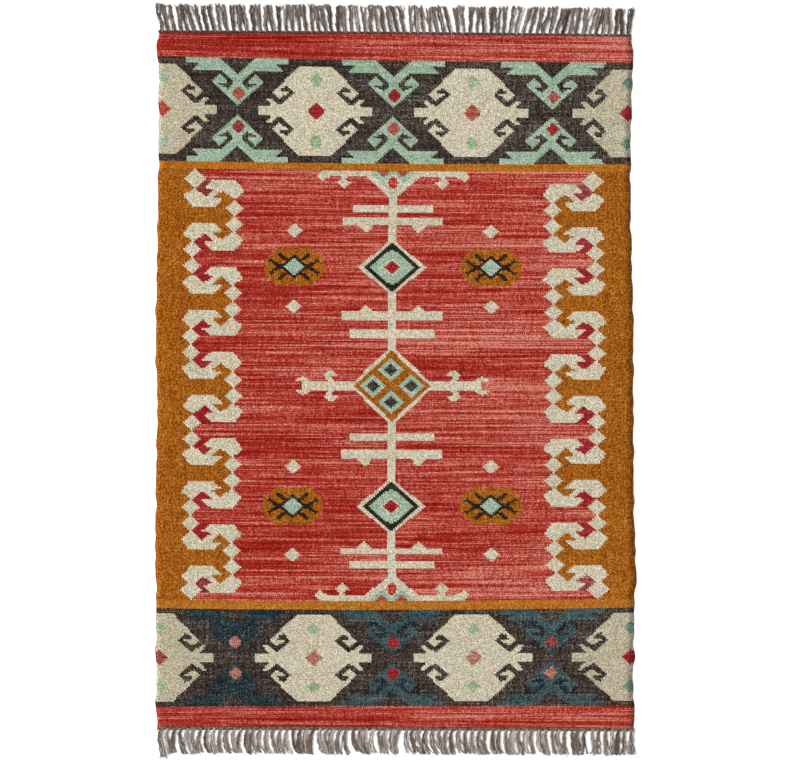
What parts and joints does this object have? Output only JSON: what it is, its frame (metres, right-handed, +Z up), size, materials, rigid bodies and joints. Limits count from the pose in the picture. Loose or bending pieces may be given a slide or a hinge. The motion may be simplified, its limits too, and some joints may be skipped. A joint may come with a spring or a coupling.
{
  "type": "kilim rug",
  "caption": "Flat-woven rectangular rug with a geometric field, patterned ends, hooked side borders and a fringe at both ends.",
  "frame": {"origin": "on the floor, under the middle of the rug with its fringes", "axes": "+Z up out of the rug's face, +Y along its warps to the far end, +X across it to the right selvedge"},
  "size_m": [1.2338, 1.93, 0.0044],
  "materials": {
    "woven_cloth": "matt weft-faced wool, ribbed along the warps",
    "fringe": "matt grey-brown plied warp yarn"
  },
  "bodies": {
    "root": {"rug_cloth": "woven_cloth", "far_fringe": "fringe", "near_fringe": "fringe"}
  },
  "joints": []
}
